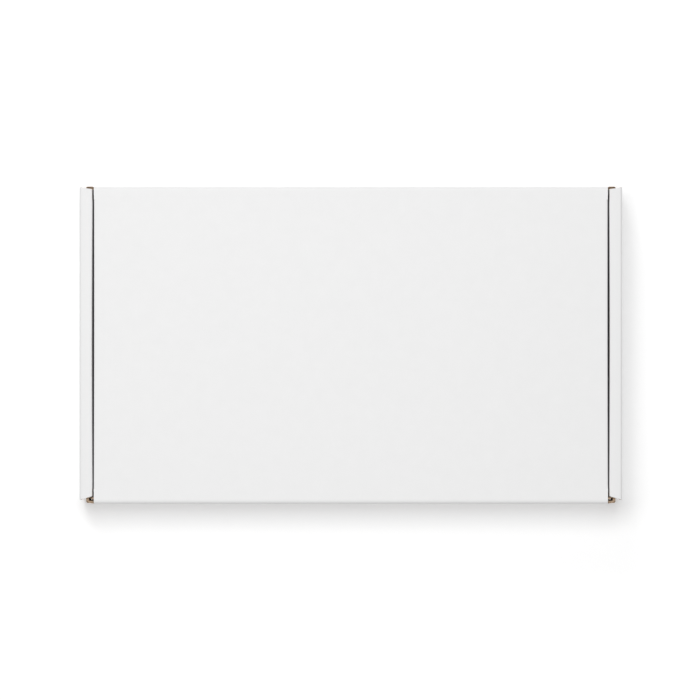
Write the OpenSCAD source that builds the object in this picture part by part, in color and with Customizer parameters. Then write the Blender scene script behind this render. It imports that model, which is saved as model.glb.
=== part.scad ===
// Corrugated mailer box, closed, folded from one die-cut sheet of E-flute board.
// Millimetres. +Z is up, +Y is the hinge side, the origin is at the bottom centre.
// The sheet is parted only at the two creases that move: back fold and front fold.

/* [Box] */
// Outer length over the side walls
box_l = 300; // [220:1:400]
// Outer depth from the front flap to the back wall
box_w = 175; // [130:1:260]
// Height to the top of the lid
box_h = 50; // [46:1:80]

/* [Board] */
// Thickness of the corrugated board
board_t = 1.5; // [1.2:0.1:1.6]
// Inner radius of a pressed crease
crease_r = 0.3; // [0.2:0.05:0.5]
// Outer radius of the two folds that move
fold_r = 1.0; // [0.6:0.1:1.4]

/* [Roll-over sides] */
// Width of the strip along the top of each side
strip_w = 7.1; // [6.5:0.1:9]
// Step from the lid's top down to the strips
strip_step = 0.3; // [0.1:0.1:0.8]
// How much further the strip reaches along its outer edge, front
strip_slant_front = 2.1; // [0.5:0.1:3]
// How much further the strip reaches along its outer edge, back
strip_slant_back = 0.9; // [0.3:0.1:1.2]

/* [Locking tabs] */
// Width of a tab under an inner side wall
tab_w = 28; // [12:1:40]
// Distance of a tab from the middle of the box
tab_at = 42; // [30:1:43]

/* [Corner flaps] */
// Length of the flaps that run from the front and back walls into the sides
corner_flap_l = 46; // [20:1:55]
// Slope of the die-cut ends of a corner flap
corner_flap_slope = 6; // [1:1:12]

/* [Lid] */
// Width of the slot between the lid and each side
lid_slot = 0.8; // [0.4:0.1:1.6]
// Depth of the dust flaps inside the sides
dust_drop = 38; // [15:1:40]
// Rounding of the free corners of a dust flap
dust_r = 14; // [4:1:14]

/* [Front flap] */
// Depth of the front flap below the lid's top
flap_drop = 43; // [38:1:44]
// Reach of the ears back into the sides
ear_l = 24; // [12:1:26]
// Distance from the lid's top to the top of the ears
ear_top = 3; // [2.5:0.1:6]
// Height of the ears
ear_h = 30; // [12:1:32]
// Rounding of the free corners of an ear
ear_r = 5; // [2:0.5:5.5]

/* [Clearances] */
// Clearance between boards that lie face to face
lay_gap = 0.1; // [0.05:0.01:0.12]
// Clearance between the front flap and the front wall
flap_gap = 0.2; // [0.1:0.05:0.4]
// Clearance between the lid and the edges that it rests on
seat_gap = 0.1; // [0.05:0.05:0.2]
// Clearance around a tab in its slot
tab_gap = 0.15; // [0.1:0.05:0.3]
// Clearance at the end of a wall that stops against another
end_gap = 0.4; // [0.2:0.1:0.8]
// Width of the parting line in a fold that moves
fold_gap = 0.05; // [0.02:0.01:0.1]

/* [Hidden] */
$fn = 96;

half_l = box_l / 2;
half_w = box_w / 2;
bend_r = board_t + crease_r;

// heights
strip_top = box_h - strip_step;
strip_under = strip_top - board_t;
lid_under = box_h - board_t;
front_top = lid_under - seat_gap;
hidden_top = strip_under - end_gap;

// layers of a side from the middle outwards
inner_x = half_l - strip_w;
outer_x = half_l - board_t;
corner_x = inner_x + board_t + lay_gap / 2;
ear_x = corner_x + board_t + lay_gap;
lid_half = inner_x - lid_slot;

// layers of the front and back from outside inwards
front_y = -half_w + board_t + flap_gap;
front_in = front_y + board_t;
back_in = half_w - board_t;
side_front = front_y + end_gap;
side_back = half_w - end_gap;
side_len = side_back - side_front;
inner_front = front_in + end_gap;
inner_back = back_in - end_gap;

// where the flat parts of the walls and the flap end
wall_end = corner_x + board_t - bend_r;
flap_end = ear_x + board_t - bend_r;

// dust flaps stay inside the front wall while the lid turns
dust_reach = sqrt(pow(half_w - front_in - end_gap, 2) - pow(dust_drop, 2));
dust_front = half_w - dust_reach + end_gap;
dust_back = back_in - 3 * bend_r;

// over-cut of a difference past the board
over = 1;

// A quarter of a pressed crease in the first quadrant.
module crease() {
    intersection() {
        difference() {
            circle(r = bend_r);
            circle(r = crease_r);
        }
        square(bend_r);
    }
}

// Board profile in XZ of the right side: wall, strip and inner wall.
module side_profile() {
    translate([half_l - bend_r, bend_r]) mirror([0, 1]) crease();
    translate([outer_x, bend_r]) square([board_t, strip_top - 2 * bend_r]);
    translate([half_l - bend_r, strip_top - bend_r]) crease();
    translate([inner_x + bend_r, strip_under])
        square([strip_w - 2 * bend_r, board_t]);
    translate([inner_x + bend_r, strip_top - bend_r]) mirror([1, 0]) crease();
    translate([inner_x, board_t + lay_gap])
        square([board_t, strip_top - bend_r - board_t - lay_gap]);
}

// The ends of the strip are cut on a slant, the inner wall stops short of the back wall.
module side_end_cuts() {
    translate([0, 0, -over]) linear_extrude(box_h + 2 * over) polygon([
        [outer_x - lay_gap, side_front - over],
        [outer_x - lay_gap, side_front + lay_gap],
        [inner_x - over, side_front + strip_slant_front],
        [inner_x - over, side_front - over]
    ]);
    translate([0, 0, -over]) linear_extrude(box_h + 2 * over) polygon([
        [outer_x - lay_gap, side_back + over],
        [outer_x - lay_gap, side_back - lay_gap],
        [inner_x - over, side_back - strip_slant_back],
        [inner_x - over, side_back + over]
    ]);
    translate([inner_x - over, inner_back, -over])
        cube([strip_w - board_t - lay_gap + over, half_w, strip_under - lay_gap + over]);
    translate([inner_x - over, side_front - over, -over])
        cube([strip_w - board_t - lay_gap + over, inner_front - side_front + over,
            strip_under - lay_gap + over]);
}

// Tabs that lock the inner wall into the bottom, seen from the right side.
module side_tabs(gap, from_z, to_z) {
    for (s = [-1, 1])
        translate([inner_x - gap, s * tab_at - tab_w / 2 - gap, from_z])
            cube([board_t + 2 * gap, tab_w + 2 * gap, to_z - from_z]);
}

// Outer side wall, strip, inner wall and tabs as one folded run of board.
module side() {
    difference() {
        translate([0, side_back, 0]) rotate([90, 0, 0])
            linear_extrude(side_len) side_profile();
        side_end_cuts();
    }
    side_tabs(0, tab_gap, board_t + lay_gap);
}

// A flap that runs from the end of the front or back wall into the side.
module corner_flap(wall_y, way) {
    start = bend_r * way;
    translate([corner_x, 0, 0]) rotate([90, 0, 90]) linear_extrude(board_t) polygon([
        [wall_y + start, bend_r + end_gap],
        [wall_y + start, hidden_top],
        [wall_y + start + (corner_flap_l - corner_flap_slope) * way, hidden_top - end_gap],
        [wall_y + start + corner_flap_l * way, hidden_top - corner_flap_slope],
        [wall_y + start + corner_flap_l * way, bend_r + corner_flap_slope],
        [wall_y + start + (corner_flap_l - corner_flap_slope) * way, bend_r + 2 * end_gap]
    ]);
    translate([wall_end, wall_y + start, bend_r + end_gap])
        mirror([0, way > 0 ? 1 : 0, 0])
            linear_extrude(hidden_top - bend_r - end_gap) crease();
}

// Front wall with its crease to the bottom and its corner flaps.
module front_wall() {
    translate([-lid_half, 0, 0]) rotate([90, 0, 90]) linear_extrude(2 * lid_half)
        translate([front_y, bend_r]) square([board_t, front_top - bend_r]);
    translate([-wall_end, front_y, bend_r])
        cube([2 * wall_end, board_t, hidden_top - bend_r]);
    translate([-wall_end, 0, 0]) rotate([90, 0, 90]) linear_extrude(2 * wall_end)
        translate([front_y + bend_r, bend_r]) rotate(180) crease();
    for (s = [0, 1]) mirror([s, 0, 0]) corner_flap(front_y, 1);
}

// Back wall up to the moving fold, with its corner flaps.
module back_wall() {
    translate([-lid_half, 0, 0]) rotate([90, 0, 90]) linear_extrude(2 * lid_half)
        intersection() {
            fold_round();
            polygon([
                [back_in, bend_r],
                [back_in, lid_under - fold_gap],
                [half_w, box_h - fold_gap],
                [half_w, bend_r]
            ]);
        }
    translate([-wall_end, back_in, bend_r])
        cube([2 * wall_end, board_t, hidden_top - bend_r]);
    translate([-wall_end, 0, 0]) rotate([90, 0, 90]) linear_extrude(2 * wall_end)
        translate([half_w - bend_r, bend_r]) rotate(-90) crease();
    for (s = [0, 1]) mirror([s, 0, 0]) corner_flap(half_w, -1);
}

// Section in YZ that rounds the outside of the moving fold at the back.
module fold_round() {
    translate([half_w - fold_r, box_h - fold_r]) circle(r = fold_r);
    translate([-box_w, -over]) square([box_w + half_w - fold_r, box_h + over]);
    translate([-box_w, -over]) square([box_w + half_w, box_h + over - fold_r]);
}

module tray() {
    color([0.93, 0.93, 0.92]) {
        difference() {
            translate([-half_l + bend_r, front_y + bend_r, 0])
                cube([box_l - 2 * bend_r, half_w - front_y - 2 * bend_r,
                    board_t]);
            for (s = [0, 1]) mirror([s, 0, 0]) side_tabs(tab_gap, -over, board_t + over);
        }
        for (s = [0, 1]) mirror([s, 0, 0]) side();
        front_wall();
        back_wall();
    }
}

// Lid board between the two moving folds, mitred at both.
module lid_panel() {
    translate([-lid_half, 0, 0]) rotate([90, 0, 90]) linear_extrude(2 * lid_half)
        intersection() {
            fold_round();
            mirror([1, 0]) fold_round();
            polygon([
                [-half_w + fold_gap, box_h],
                [half_w - fold_gap, box_h],
                [back_in - fold_gap, lid_under],
                [-back_in + fold_gap, lid_under]
            ]);
        }
}

// Outline in YZ of a dust flap, rounded at its two free corners.
module dust_outline() {
    low = box_h - dust_drop;
    intersection() {
        translate([dust_front, low]) square([dust_back - dust_front, dust_drop - bend_r]);
        union() {
            translate([dust_front + dust_r, low + dust_r]) circle(r = dust_r);
            translate([dust_back - dust_r, low + dust_r]) circle(r = dust_r);
            translate([dust_front + dust_r, low])
                square([dust_back - dust_front - 2 * dust_r, dust_drop]);
            translate([dust_front, low + dust_r])
                square([dust_back - dust_front, dust_drop]);
        }
    }
}

// A flap folded down from the right edge of the lid.
module dust_flap() {
    translate([lid_half - board_t, 0, 0]) rotate([90, 0, 90])
        linear_extrude(board_t) dust_outline();
    translate([lid_half - bend_r, dust_back, box_h - bend_r]) rotate([90, 0, 0])
        linear_extrude(dust_back - dust_front) crease();
}

module lid() {
    color([0.94, 0.94, 0.93]) {
        difference() {
            lid_panel();
            for (s = [0, 1]) mirror([s, 0, 0])
                translate([lid_half - bend_r, dust_front, lid_under - over])
                    cube([bend_r + over, dust_back - dust_front, board_t + 2 * over]);
        }
        for (s = [0, 1]) mirror([s, 0, 0]) dust_flap();
    }
}

// Section in YZ of the flap below the moving fold at the front.
module flap_section() {
    intersection() {
        mirror([1, 0]) fold_round();
        polygon([
            [-half_w, box_h - flap_drop],
            [-half_w, box_h - fold_gap],
            [-back_in, lid_under - fold_gap],
            [-back_in, box_h - flap_drop]
        ]);
    }
}

// Outline in YZ of the right ear, rounded at its two free corners.
module ear_outline() {
    start = -half_w + bend_r;
    high = box_h - ear_top;
    low = high - ear_h;
    reach = ear_l - bend_r;
    translate([start, low]) square([reach - ear_r, ear_h]);
    translate([start, low + ear_r]) square([reach, ear_h - 2 * ear_r]);
    translate([start + reach - ear_r, low + ear_r]) circle(r = ear_r);
    translate([start + reach - ear_r, high - ear_r]) circle(r = ear_r);
}

// Ear that tucks into the right side, with its crease to the flap.
module ear() {
    translate([ear_x, 0, 0]) rotate([90, 0, 90]) linear_extrude(board_t) ear_outline();
    translate([flap_end, -half_w + bend_r, box_h - ear_top - ear_h]) mirror([0, 1, 0])
        linear_extrude(ear_h) crease();
}

module front_flap() {
    color([0.95, 0.95, 0.94]) {
        translate([-lid_half, 0, 0]) rotate([90, 0, 90])
            linear_extrude(2 * lid_half) flap_section();
        for (s = [0, 1]) mirror([s, 0, 0]) {
            translate([lid_half, -half_w, box_h - flap_drop])
                cube([flap_end - lid_half, board_t,
                    flap_drop - ear_top + end_gap]);
            ear();
        }
    }
}

tray();
lid();
front_flap();
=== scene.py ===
"""White corrugated mailer box, closed, seen from straight above on a white floor.

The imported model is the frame. Every board is rebuilt as what it is: a white paper
liner outside, a kraft liner inside and a fluted sheet between them, folded at the
creases and left raw where the blank was cut.
"""

import logging
import math
from abc import ABC, abstractmethod
from dataclasses import dataclass, field
from enum import Enum
from typing import Callable, Iterable

import bmesh
import bpy
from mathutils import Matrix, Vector


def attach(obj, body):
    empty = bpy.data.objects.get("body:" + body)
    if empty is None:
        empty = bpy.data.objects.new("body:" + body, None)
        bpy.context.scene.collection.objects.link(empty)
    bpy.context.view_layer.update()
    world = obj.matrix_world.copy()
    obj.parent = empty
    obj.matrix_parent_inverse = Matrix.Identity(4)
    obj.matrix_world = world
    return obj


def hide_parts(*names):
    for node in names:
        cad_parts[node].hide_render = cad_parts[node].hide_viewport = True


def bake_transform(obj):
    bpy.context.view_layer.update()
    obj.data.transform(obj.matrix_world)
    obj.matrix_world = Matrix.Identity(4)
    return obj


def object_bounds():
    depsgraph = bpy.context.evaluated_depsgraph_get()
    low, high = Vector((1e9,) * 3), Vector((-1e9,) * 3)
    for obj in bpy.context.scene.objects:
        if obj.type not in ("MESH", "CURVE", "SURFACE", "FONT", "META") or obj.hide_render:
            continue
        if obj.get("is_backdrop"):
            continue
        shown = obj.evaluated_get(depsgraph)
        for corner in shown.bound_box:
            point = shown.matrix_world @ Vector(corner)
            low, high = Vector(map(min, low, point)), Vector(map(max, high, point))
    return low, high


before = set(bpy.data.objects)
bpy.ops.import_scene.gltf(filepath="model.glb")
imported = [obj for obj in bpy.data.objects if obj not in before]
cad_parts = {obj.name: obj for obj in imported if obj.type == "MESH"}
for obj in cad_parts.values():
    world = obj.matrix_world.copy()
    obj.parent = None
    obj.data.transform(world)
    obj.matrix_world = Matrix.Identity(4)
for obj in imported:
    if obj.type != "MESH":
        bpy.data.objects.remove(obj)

LOG = logging.getLogger("mailer_box")
MM = 0.001
TINY = 0.02 * MM
QUARTER = math.pi / 2
SIDES = (1, -1)

# Length over which a flap behind a corner eases into the stack of boards, and its steps
LEAN = 12 * MM
LEAN_STEPS = 6

# Number of slices along an edge that bows
SLICES = 9

# Strengths of the room's even light and of the floor's own white
ROOM_LIGHT = 0.47
FLOOR_GLOW = 0.295


def clamp(value: float) -> float:
    """Hold a value between 0 and 1."""
    return min(1.0, max(0.0, value))


def easing(distance: float, length: float) -> float:
    """1 up to a distance of 0, easing to 0 over the length."""
    share = clamp(distance / length)
    return 1 - share * share * (3 - 2 * share)


def between(ends: tuple[float, float], share: float) -> float:
    """Value at a share of the way from the first end to the second."""
    return ends[0] + (ends[1] - ends[0]) * clamp(share)


class Side(Enum):
    """The two paper faces of the board."""

    WHITE = "white"
    KRAFT = "kraft"


class Slot(Enum):
    """Order of the materials on every piece of board."""

    WHITE = 0
    KRAFT = 1
    CUT = 2


Papers = dict[Slot, bpy.types.Material]


@dataclass(frozen=True)
class Board:
    """E-flute corrugated board.

    Attributes:
        thickness: Whole board.
        liner: Each paper face.
        medium: The fluted sheet.
        crush: How far in from a cut edge the flutes are crushed shut.
        pitch: Distance from flute to flute.
        crease: Inner radius of a pressed crease.
        pressed: Exponent of a pressed crease's outside, 2 for a round and more for a corner.
        rolled: The same where the outer side wall rolls over.
    """

    thickness: float = 1.5 * MM
    liner: float = 0.26 * MM
    medium: float = 0.2 * MM
    crush: float = 0.2 * MM
    pitch: float = 3.3 * MM
    crease: float = 0.3 * MM
    pressed: float = 4.0
    rolled: float = 2.5

    @property
    def bend(self) -> float:
        """Outer radius of a pressed crease."""
        return self.thickness + self.crease

    @property
    def middle(self) -> float:
        """Depth of the middle of the board below its white face."""
        return self.thickness / 2

    @property
    def swing(self) -> float:
        """How far the fluted sheet swings from the middle of the board."""
        return self.thickness / 2 - self.liner - self.medium / 2

    def depth(self, side: Side) -> float:
        """Depth of a paper face below the white face."""
        return 0.0 if side is Side.WHITE else self.thickness


@dataclass(frozen=True)
class Bow:
    """Outline of an edge that isn't quite straight, front to back.

    Attributes:
        front: How far out its front end lies.
        back: How far out its back end lies.
        middle: How much further out than between the two its middle lies.
    """

    front: float
    back: float
    middle: float

    def at(self, share: float) -> float:
        """How far out the edge lies at a share of its length."""
        straight = self.front + (self.back - self.front) * share
        return straight + self.middle * math.sin(math.pi * share)


STRIP_BOW = Bow(front=-0.12 * MM, back=-0.12 * MM, middle=0.34 * MM)
LID_BOW = Bow(front=0.1 * MM, back=-0.07 * MM, middle=-0.13 * MM)


@dataclass(frozen=True)
class Settled:
    """How far creased board lies from where a straight stack of boards would put it.

    Attributes:
        wall_back: How far back the front wall's top is crushed, at its white and kraft face.
        wall_fade: Depth behind the front wall over which that fades.
        flap_back: How far back the front flap's top is crushed, at its white and kraft face.
        rim_start: How far before the wall's kraft face the tops of its corner folds drop.
        rim_slope: Depth over which they do.
        wall_in: How far the front wall's corner folds are drawn in.
        ears_in: How far the ears' folds are drawn in.
        back_out: How far the back wall's corner folds spread.
        back_lean: How far back they lean.
        whole: Distance from a side's cut edge over which drawing in and spread stay whole.
    """

    wall_back: tuple[float, float] = (0.8 * MM, 0.3 * MM)
    wall_fade: float = 1.5 * MM
    flap_back: tuple[float, float] = (0.4 * MM, 0.05 * MM)
    rim_start: float = 0.4 * MM
    rim_slope: float = 0.5 * MM
    wall_in: float = 2.1 * MM
    ears_in: float = 1.15 * MM
    back_out: float = 0.6 * MM
    back_lean: float = 0.35 * MM
    whole: float = 2 * MM


@dataclass(frozen=True)
class Plan:
    """Places of the folds and cut edges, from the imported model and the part's named sizes."""

    half_l: float
    half_w: float
    height: float
    board: Board = field(default_factory=Board)
    settled: Settled = field(default_factory=Settled)
    strip_w: float = 7.1 * MM
    strip_step: float = 0.3 * MM
    slant_front: float = 2.1 * MM
    slant_back: float = 1.1 * MM
    lid_slot: float = 0.8 * MM
    lay_gap: float = 0.1 * MM
    flap_gap: float = 0.2 * MM
    end_gap: float = 0.4 * MM
    tab_gap: float = 0.15 * MM
    tab_w: float = 28 * MM
    tab_at: float = 42 * MM
    corner_flap_l: float = 46 * MM
    corner_slope: float = 6 * MM
    relief: float = 2.4 * MM
    dust_drop: float = 38 * MM
    dust_r: float = 14 * MM
    flap_drop: float = 43 * MM
    flap_r: float = 2.5 * MM
    ear_l: float = 24 * MM
    ear_top: float = 3 * MM
    ear_h: float = 30 * MM
    ear_r: float = 5 * MM

    @property
    def strip_top(self) -> float:
        """Height of the roll-over strips."""
        return self.height - self.strip_step

    @property
    def fold_x(self) -> float:
        """Where the bottom ends and the creases of the side walls start."""
        return self.half_l - self.board.bend

    @property
    def inner_x(self) -> float:
        """White face of the inner side walls."""
        return self.half_l - self.strip_w

    @property
    def lid_half(self) -> float:
        """Half the width of the lid."""
        return self.inner_x - self.lid_slot

    @property
    def wall_end(self) -> float:
        """Where the front and back walls end and their corner flaps start."""
        return self.inner_x + self.board.thickness * 2 + self.lay_gap / 2 - self.board.bend

    @property
    def flap_end(self) -> float:
        """Where the front flap ends and its ears start."""
        return self.wall_end + self.board.thickness + self.lay_gap

    @property
    def front_y(self) -> float:
        """White face of the front wall."""
        return -self.half_w + self.board.thickness + self.flap_gap

    @property
    def front_fold(self) -> float:
        """Where the bottom ends at the front wall's crease."""
        return self.front_y + self.board.bend

    @property
    def back_fold(self) -> float:
        """Where the bottom ends at the back wall's crease."""
        return self.half_w - self.board.bend

    @property
    def side_front(self) -> float:
        """Front cut edge of the side walls."""
        return self.front_y + self.end_gap

    @property
    def side_back(self) -> float:
        """Back cut edge of the side walls."""
        return self.half_w - self.lay_gap / 2

    @property
    def hidden_top(self) -> float:
        """Top edge of the boards that the strips cover."""
        return self.strip_top - self.board.thickness - self.end_gap

    @property
    def front_top(self) -> float:
        """Top edge of the front wall, just below the lid."""
        return self.height - self.board.thickness - self.end_gap - self.lay_gap

    @property
    def corner_top(self) -> float:
        """Top of the front wall's corner folds, which stand free beside the lid."""
        return self.strip_top - self.end_gap

    @property
    def dust_front(self) -> float:
        """Front edge of the dust flaps, clear of the front wall while the lid turns."""
        room = self.half_w - self.front_y - self.board.thickness - self.end_gap
        return self.half_w - math.sqrt(room**2 - self.dust_drop**2) + self.end_gap

    @property
    def dust_back(self) -> float:
        """Back edge of the dust flaps."""
        return self.half_w - self.board.thickness - 3 * self.board.bend

    def lean(self, z: float) -> float:
        """Share by which a wall that is crushed back at its top is so at a height."""
        return clamp(2 * z / self.height - 1)


@dataclass(frozen=True)
class FoldZone:
    """How far a moving fold's own paper reaches onto the boards at its two sides.

    Attributes:
        on_lid: Reach on the lid.
        on_wall: Reach down the wall or flap.
        soft: Distance from the corner at which the fold starts to round off.
        sharpness: Profile of the rounding, 0.5 for a circle and more for a squarer one.
        still: Where the moving paper starts, as distances in from the wall's face and down
        from the lid's; not used.
        carried: Where it has turned with the other board, as such distances; not used.
        tighter: How much less soft the fold is inside, for each unit of depth.
        least: The least that soft becomes.
    """

    on_lid: float
    on_wall: float
    soft: float
    sharpness: float
    still: tuple[float, float]
    carried: tuple[float, float]
    tighter: float = 1.2
    least: float = 0.35 * MM

    def softness(self, depth: float) -> float:
        """Distance from the corner at which a liner at a depth starts to round off."""
        return max(self.soft - depth * self.tighter, self.least)


BACK_ZONE = FoldZone(on_lid=4.5 * MM, on_wall=4.5 * MM, soft=1.6 * MM, sharpness=0.5,
                     still=(1.44 * MM, 0.0), carried=(0.0, 1.44 * MM))
FRONT_ZONE = FoldZone(on_lid=7.0 * MM, on_wall=5.5 * MM, soft=2.6 * MM, sharpness=0.6,
                      still=(1.5 * MM, 0.5 * MM), carried=(0.0, 3.1 * MM))


# Node groups


class GroupBuilder:
    """Small helper that writes a shader node group with named sockets."""

    def __init__(self, name: str) -> None:
        """Start an empty group.

        Args:
            name: Name of the group.
        """
        self.tree = bpy.data.node_groups.new(name, "ShaderNodeTree")
        self.start = self.tree.nodes.new("NodeGroupInput")
        self.end = self.tree.nodes.new("NodeGroupOutput")

    def takes(self, name: str, kind: str, value: object = None) -> "GroupBuilder":
        """Add an input socket.

        Args:
            name: Name of the socket.
            kind: Float, Color or Vector.
            value: Its default.

        Returns:
            This builder.
        """
        socket = self.tree.interface.new_socket(
            name, in_out="INPUT", socket_type=f"NodeSocket{kind}")
        if value is not None:
            socket.default_value = value
        return self

    def gives(self, name: str, kind: str) -> "GroupBuilder":
        """Add an output socket.

        Args:
            name: Name of the socket.
            kind: Float, Color or Vector.

        Returns:
            This builder.
        """
        self.tree.interface.new_socket(
            name, in_out="OUTPUT", socket_type=f"NodeSocket{kind}")
        return self

    def node(self, kind: str, **settings: object) -> bpy.types.Node:
        """Add a node.

        Args:
            kind: Its type.
            **settings: Its properties.

        Returns:
            The new node.
        """
        made = self.tree.nodes.new(kind)
        for key, value in settings.items():
            setattr(made, key, value)
        return made

    def link(self, source: bpy.types.NodeSocket, target: bpy.types.NodeSocket) -> None:
        """Join two sockets."""
        self.tree.links.new(source, target)

    def math(self, operation: str, first: object, second: object = None) -> bpy.types.NodeSocket:
        """Add a Math node.

        Args:
            operation: Its operation, such as MULTIPLY.
            first: A socket or a number.
            second: A socket or a number, if the operation takes two.

        Returns:
            The node's output.
        """
        made = self.node("ShaderNodeMath", operation=operation)
        for place, value in enumerate((first, second)):
            if isinstance(value, bpy.types.NodeSocket):
                self.link(value, made.inputs[place])
            elif value is not None:
                made.inputs[place].default_value = value
        return made.outputs[0]

    def noise(self, vector: bpy.types.NodeSocket, scale: float, detail: float,
              rough: float = 0.55) -> bpy.types.NodeSocket:
        """Add a Noise texture.

        Args:
            vector: Where it is read.
            scale: Its scale, in cycles per unit.
            detail: Octaves of detail.
            rough: How strongly the finer octaves count.

        Returns:
            The node's value, from 0 to 1.
        """
        made = self.node("ShaderNodeTexNoise")
        made.inputs["Scale"].default_value = scale
        made.inputs["Detail"].default_value = detail
        made.inputs["Roughness"].default_value = rough
        self.link(vector, made.inputs["Vector"])
        return made.outputs["Fac"]

    def stretch(self, vector: bpy.types.NodeSocket, scale: tuple[float, float, float],
                turn: float = 0.0) -> bpy.types.NodeSocket:
        """Scale and turn a vector with a Mapping node.

        Args:
            vector: The vector.
            scale: Factor along each axis.
            turn: Angle about Z.

        Returns:
            The node's output.
        """
        made = self.node("ShaderNodeMapping")
        made.inputs["Scale"].default_value = scale
        made.inputs["Rotation"].default_value = (0, 0, turn)
        self.link(vector, made.inputs["Vector"])
        return made.outputs["Vector"]

    def ramp(self, value: bpy.types.NodeSocket, low: float, high: float) -> bpy.types.NodeSocket:
        """Map a value smoothly to 0 to 1.

        Args:
            value: The value.
            low: What becomes 0.
            high: What becomes 1.

        Returns:
            The node's output.
        """
        made = self.node("ShaderNodeMapRange", interpolation_type="SMOOTHSTEP")
        made.inputs["From Min"].default_value = low
        made.inputs["From Max"].default_value = high
        self.link(value, made.inputs["Value"])
        return made.outputs["Result"]


def fibre_group() -> bpy.types.NodeTree:
    """Paper fibres: clouds of pulp, short hairs across them and rare dark specks.

    Returns:
        The group, with Clouds, Hairs, Specks and Height outputs.
    """
    g = GroupBuilder("paper_fibres")
    g.takes("Vector", "Vector").takes("Clouds Scale", "Float", 90.0)
    g.takes("Speck Share", "Float", 0.1)
    for name in ("Clouds", "Hairs", "Specks", "Height"):
        g.gives(name, "Float")
    place = g.start.outputs["Vector"]

    clouds = g.node("ShaderNodeTexNoise")
    clouds.inputs["Detail"].default_value = 4.0
    clouds.inputs["Roughness"].default_value = 0.6
    g.link(place, clouds.inputs["Vector"])
    g.link(g.start.outputs["Clouds Scale"], clouds.inputs["Scale"])

    hairs_a = g.noise(g.stretch(place, (1.0, 0.16, 1.0), 0.5), 1500.0, 2.0)
    hairs_b = g.noise(g.stretch(place, (0.16, 1.0, 1.0), -0.35), 1300.0, 2.0)
    hairs = g.math("MULTIPLY", g.math("ADD", hairs_a, hairs_b), 0.5)

    cells = g.node("ShaderNodeTexVoronoi", feature="F1")
    cells.inputs["Scale"].default_value = 260.0
    g.link(place, cells.inputs["Vector"])
    dots = g.math("SUBTRACT", 1.0, g.ramp(cells.outputs["Distance"], 0.06, 0.16))
    pick = g.node("ShaderNodeSeparateColor")
    g.link(cells.outputs["Color"], pick.inputs["Color"])
    chosen = g.math("LESS_THAN", pick.outputs["Red"], g.start.outputs["Speck Share"])
    specks = g.math("MULTIPLY", dots, chosen)

    height = g.math("ADD", g.math("MULTIPLY", hairs, 0.7),
                    g.math("MULTIPLY", clouds.outputs["Fac"], 0.3))
    g.link(clouds.outputs["Fac"], g.end.inputs["Clouds"])
    g.link(hairs, g.end.inputs["Hairs"])
    g.link(specks, g.end.inputs["Specks"])
    g.link(height, g.end.inputs["Height"])
    return g.tree


def flute_group() -> bpy.types.NodeTree:
    """Washboard that the flutes press through the liner, across U of the board's UV map.

    Returns:
        The group, with a Ridge output from 0 to 1 that fades in and out along the sheet.
    """
    g = GroupBuilder("flute_washboard")
    g.takes("UV", "Vector").takes("Pitch", "Float", 3.3 * MM)
    g.gives("Ridge", "Float")
    split = g.node("ShaderNodeSeparateXYZ")
    g.link(g.start.outputs["UV"], split.inputs[0])
    drift = g.noise(g.start.outputs["UV"], 14.0, 2.0)
    turns = g.math("DIVIDE", split.outputs["X"], g.start.outputs["Pitch"])
    wave = g.math("SINE", g.math("MULTIPLY", g.math("ADD", turns, drift), 2 * math.pi))
    fade = g.ramp(g.noise(g.start.outputs["UV"], 22.0, 1.0), 0.3, 0.75)
    lifted = g.math("MULTIPLY", g.math("MULTIPLY", wave, 0.5), fade)
    g.link(g.math("ADD", lifted, 0.5), g.end.inputs["Ridge"])
    return g.tree


def wear_group(plan: Plan) -> bpy.types.NodeTree:
    """Rubbed edges, 1 along the box's outer folds and broken up by noise, and the rolled sides.

    Args:
        plan: Gives the half sizes of the box.

    Returns:
        The group, with Rub and Crack outputs, and Rolled, which is 1 on the sides.
    """
    g = GroupBuilder("fold_wear")
    g.takes("Vector", "Vector").takes("Width", "Float", 1.2 * MM)
    g.gives("Rub", "Float").gives("Crack", "Float").gives("Rolled", "Float")
    split = g.node("ShaderNodeSeparateXYZ")
    g.link(g.start.outputs["Vector"], split.inputs[0])

    def gap(axis: str, centre: float, half: float) -> bpy.types.NodeSocket:
        """Distance from the pair of outer faces across one axis."""
        offset = g.math("ABSOLUTE", g.math("SUBTRACT", split.outputs[axis], centre))
        return g.math("ABSOLUTE", g.math("SUBTRACT", half, offset))

    x = gap("X", 0.0, plan.half_l)
    y = gap("Y", 0.0, plan.half_w)
    z = gap("Z", plan.height / 2, plan.height / 2)
    nearest = g.math("MAXIMUM", g.math("MINIMUM", x, y),
                     g.math("MINIMUM", g.math("MAXIMUM", x, y), z))
    near = g.math("SUBTRACT", 1.0, g.math("MINIMUM", 1.0, g.math(
        "DIVIDE", nearest, g.start.outputs["Width"])))
    broken = g.ramp(g.noise(g.start.outputs["Vector"], 60.0, 3.0), 0.35, 0.7)
    g.link(g.math("MULTIPLY", near, broken), g.end.inputs["Rub"])
    fine = g.ramp(g.noise(g.start.outputs["Vector"], 900.0, 3.0), 0.62, 0.72)
    g.link(g.math("MULTIPLY", g.math("MULTIPLY", near, near), fine), g.end.inputs["Crack"])
    rolled = g.ramp(g.math("ABSOLUTE", split.outputs["X"]), plan.lid_half, plan.inner_x)
    g.link(rolled, g.end.inputs["Rolled"])
    return g.tree


# Finishes


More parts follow.
